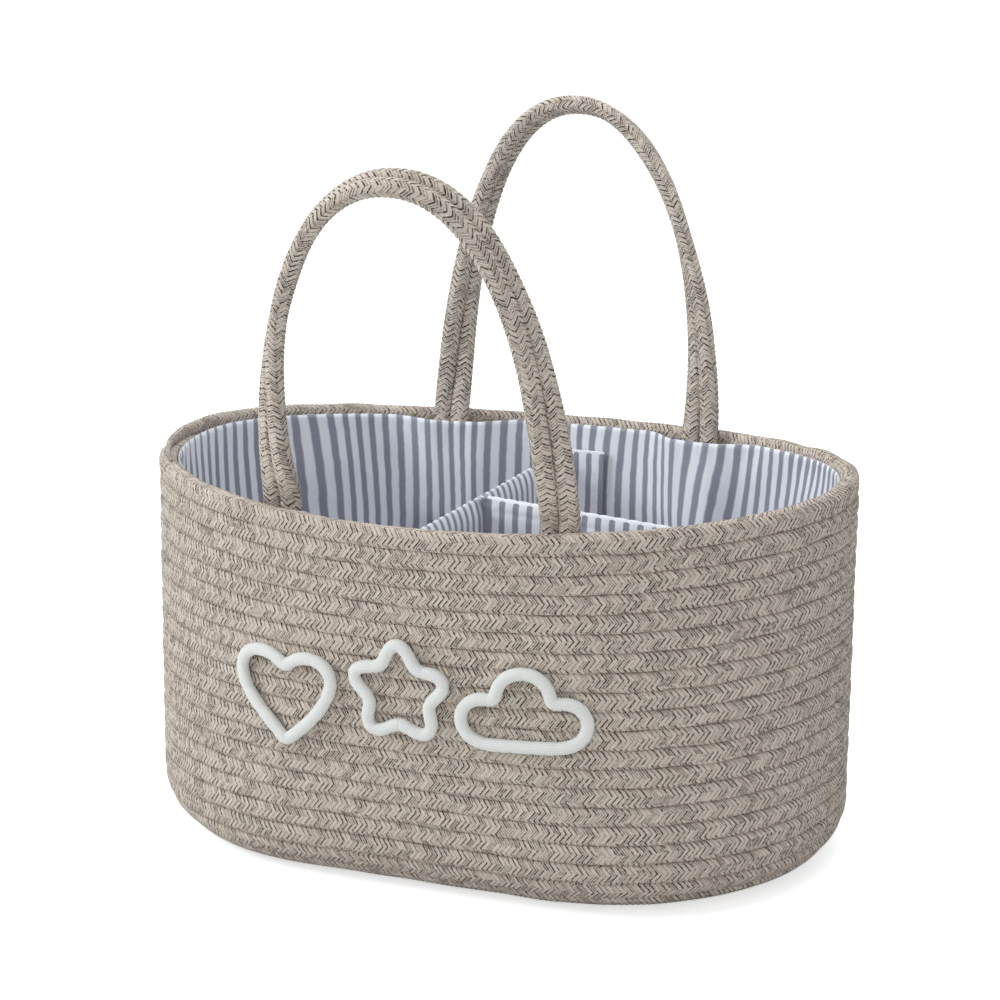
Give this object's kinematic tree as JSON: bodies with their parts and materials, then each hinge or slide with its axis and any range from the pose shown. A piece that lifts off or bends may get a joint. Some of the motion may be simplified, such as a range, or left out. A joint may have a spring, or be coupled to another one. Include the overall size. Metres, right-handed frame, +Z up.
{
  "type": "diaper caddy",
  "caption": "Oval coiled-rope caddy with a striped cotton lining, two tall rope strap handles and a lift-out divider that makes three compartments.",
  "frame": {"origin": "on the floor under the middle of the basket, inside the flat of the first rope row", "axes": "+X along the basket's length, -Y its front with the white cord motifs, +Z up"},
  "size_m": [0.376, 0.345, 0.3768],
  "materials": {
    "rope": "braided cotton, melange",
    "striped_cotton": "woven, pale and slate stripes",
    "white_cord": "soft knitted cord",
    "board": "stiff board",
    "hook_and_loop_tape": "woven tape"
  },
  "bodies": {
    "root": {"base_rope": "rope", "wall_rope": "rope", "front_left_outer_tail": "rope", "front_left_inner_tail": "rope", "front_right_outer_tail": "rope", "front_right_inner_tail": "rope", "back_left_outer_tail": "rope", "back_left_inner_tail": "rope", "back_right_outer_tail": "rope", "back_right_inner_tail": "rope", "lining_wall": "striped_cotton", "lining_bottom": "striped_cotton", "front_loop_strip": "hook_and_loop_tape", "end_loop_strip": "hook_and_loop_tape", "back_loop_strip": "hook_and_loop_tape", "heart_cord": "white_cord", "star_cord": "white_cord", "cloud_cord": "white_cord"},
    "front_handle": {"front_handle_outer_rope": "rope", "front_handle_inner_rope": "rope"},
    "back_handle": {"back_handle_outer_rope": "rope", "back_handle_inner_rope": "rope"},
    "divider": {"divider_cross_cover": "striped_cotton", "divider_long_cover": "striped_cotton", "divider_cross_board": "board", "divider_long_board": "board", "divider_front_tab": "striped_cotton", "divider_end_tab": "striped_cotton", "divider_back_tab": "striped_cotton", "front_hook_strip": "hook_and_loop_tape", "end_hook_strip": "hook_and_loop_tape", "back_hook_strip": "hook_and_loop_tape"}
  },
  "joints": [
    {"name": "front_handle_swing", "type": "hinge", "parent": "root", "child": "front_handle", "pos_m": [0, -0.10814, 0.199], "axis": [1, 0, 0], "range_deg": [-52, 16], "stiffness_Nm_per_rad": 0.5},
    {"name": "back_handle_swing", "type": "hinge", "parent": "root", "child": "back_handle", "pos_m": [0, 0.10814, 0.199], "axis": [-1, 0, 0], "range_deg": [-44, 23], "stiffness_Nm_per_rad": 0.5},
    {"name": "divider_lift", "type": "slide", "parent": "root", "child": "divider", "axis": [0, 0, 1], "range_m": [0, 0.155]}
  ]
}
